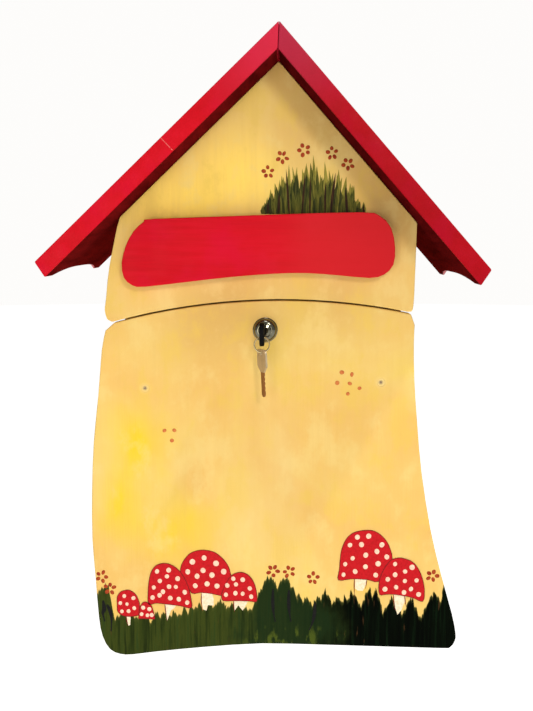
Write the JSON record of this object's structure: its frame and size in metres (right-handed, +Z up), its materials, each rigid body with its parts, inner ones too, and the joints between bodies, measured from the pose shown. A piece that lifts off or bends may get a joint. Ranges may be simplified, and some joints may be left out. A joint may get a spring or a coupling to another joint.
{
  "type": "wooden wall mailbox",
  "caption": "House-shaped wooden wall mailbox: gable roof, top-hung flap over a mail slot, bottom-hung front door with a cam lock, key and spare key.",
  "frame": {"origin": "middle of the back panel's wall face: on the wall plane and at the middle of the box's width", "axes": "+Z up, +Y into the wall, +X to the right for someone facing the mailbox; the front faces -Y"},
  "size_m": [0.4262, 0.28, 0.6292],
  "materials": {
    "yellow_paint": "hand-brushed warm yellow satin paint on wood",
    "red_paint": "red satin paint on wood",
    "plywood": "bare plywood and batten",
    "chrome": "polished chrome",
    "zinc_steel": "zinc plated",
    "nickel": "nickel-plated brass",
    "key_head": "black moulded head on a metal blade",
    "rubber": "matt"
  },
  "bodies": {
    "case": {"back_panel": "plywood", "side_left": "yellow_paint", "side_right": "yellow_paint", "floor_board": "plywood", "gable_board": "yellow_paint", "ridge_block": "plywood", "roof_left": "red_paint", "roof_right": "red_paint", "door_bumper_left": "rubber", "door_bumper_right": "rubber", "flap_bumper_left": "rubber", "flap_bumper_right": "rubber", "stay_pin_left": "zinc_steel", "stay_pin_right": "zinc_steel", "flap_hinge_left_fixed": "zinc_steel", "flap_hinge_left_pin": "zinc_steel", "flap_hinge_right_fixed": "zinc_steel", "flap_hinge_right_pin": "zinc_steel", "door_hinge_left_fixed": "zinc_steel", "door_hinge_left_pin": "zinc_steel", "door_hinge_right_fixed": "zinc_steel", "door_hinge_right_pin": "zinc_steel"},
    "flap": {"flap_board": "red_paint", "flap_hinge_left_leaf": "zinc_steel", "flap_hinge_right_leaf": "zinc_steel"},
    "door": {"door_panel": "yellow_paint", "door_batten": "plywood", "door_screw_left": "zinc_steel", "door_screw_right": "zinc_steel", "door_hinge_left_leaf": "zinc_steel", "door_hinge_right_leaf": "zinc_steel", "stay_bracket_left": "zinc_steel", "stay_bracket_right": "zinc_steel", "lock_housing": "chrome", "lock_nut": "zinc_steel"},
    "stay_left": {"stay_arm_left": "zinc_steel"},
    "stay_right": {"stay_arm_right": "zinc_steel"},
    "plug": {"lock_plug": "chrome", "lock_cam": "zinc_steel", "cam_screw": "zinc_steel"},
    "key": {"key": "key_head"},
    "ring": {"key_ring": "nickel"},
    "spare": {"spare_key": "nickel"}
  },
  "joints": [
    {"name": "flap_hinge", "type": "hinge", "parent": "case", "child": "flap", "pos_m": [0, -0.2125, 0.2096], "axis": [-0.9995, 0, -0.0314], "range_deg": [0, 75]},
    {"name": "door_hinge", "type": "hinge", "parent": "case", "child": "door", "pos_m": [0, -0.1895, -0.206], "axis": [1, 0, 0], "range_deg": [0, 90]},
    {"name": "stay_left_swing", "type": "hinge", "parent": "door", "child": "stay_left", "pos_m": [-0.1259, -0.1805, -0.11645], "axis": [1, 0, 0], "range_deg": [-46, 0]},
    {"name": "stay_right_swing", "type": "hinge", "parent": "door", "child": "stay_right", "pos_m": [0.1259, -0.1805, -0.11645], "axis": [1, 0, 0], "range_deg": [-46, 0]},
    {"name": "lock_turn", "type": "hinge", "parent": "door", "child": "plug", "pos_m": [0.0034, -0.21, 0.0974], "axis": [0, -1, 0], "range_deg": [0, 90]},
    {"name": "key_pull", "type": "slide", "parent": "plug", "child": "key", "axis": [0, -1, 0], "range_m": [0, 0.028]},
    {"name": "ring_swing", "type": "hinge", "parent": "key", "child": "ring", "pos_m": [0.0008, -0.238, 0.0936], "axis": [1, 0, 0], "range_deg": [-91, 0]},
    {"name": "spare_swing", "type": "hinge", "parent": "ring", "child": "spare", "pos_m": [0.0008, -0.238, 0.0851], "axis": [0, -1, 0], "range_deg": [-91, 0]}
  ],
  "couplings": [
    {"joint": "stay_left_swing", "follows": "door_hinge", "ratio": -0.5},
    {"joint": "stay_right_swing", "follows": "door_hinge", "ratio": -0.5},
    {"joint": "ring_swing", "follows": "door_hinge", "ratio": -1},
    {"joint": "spare_swing", "follows": "lock_turn", "ratio": -1}
  ]
}
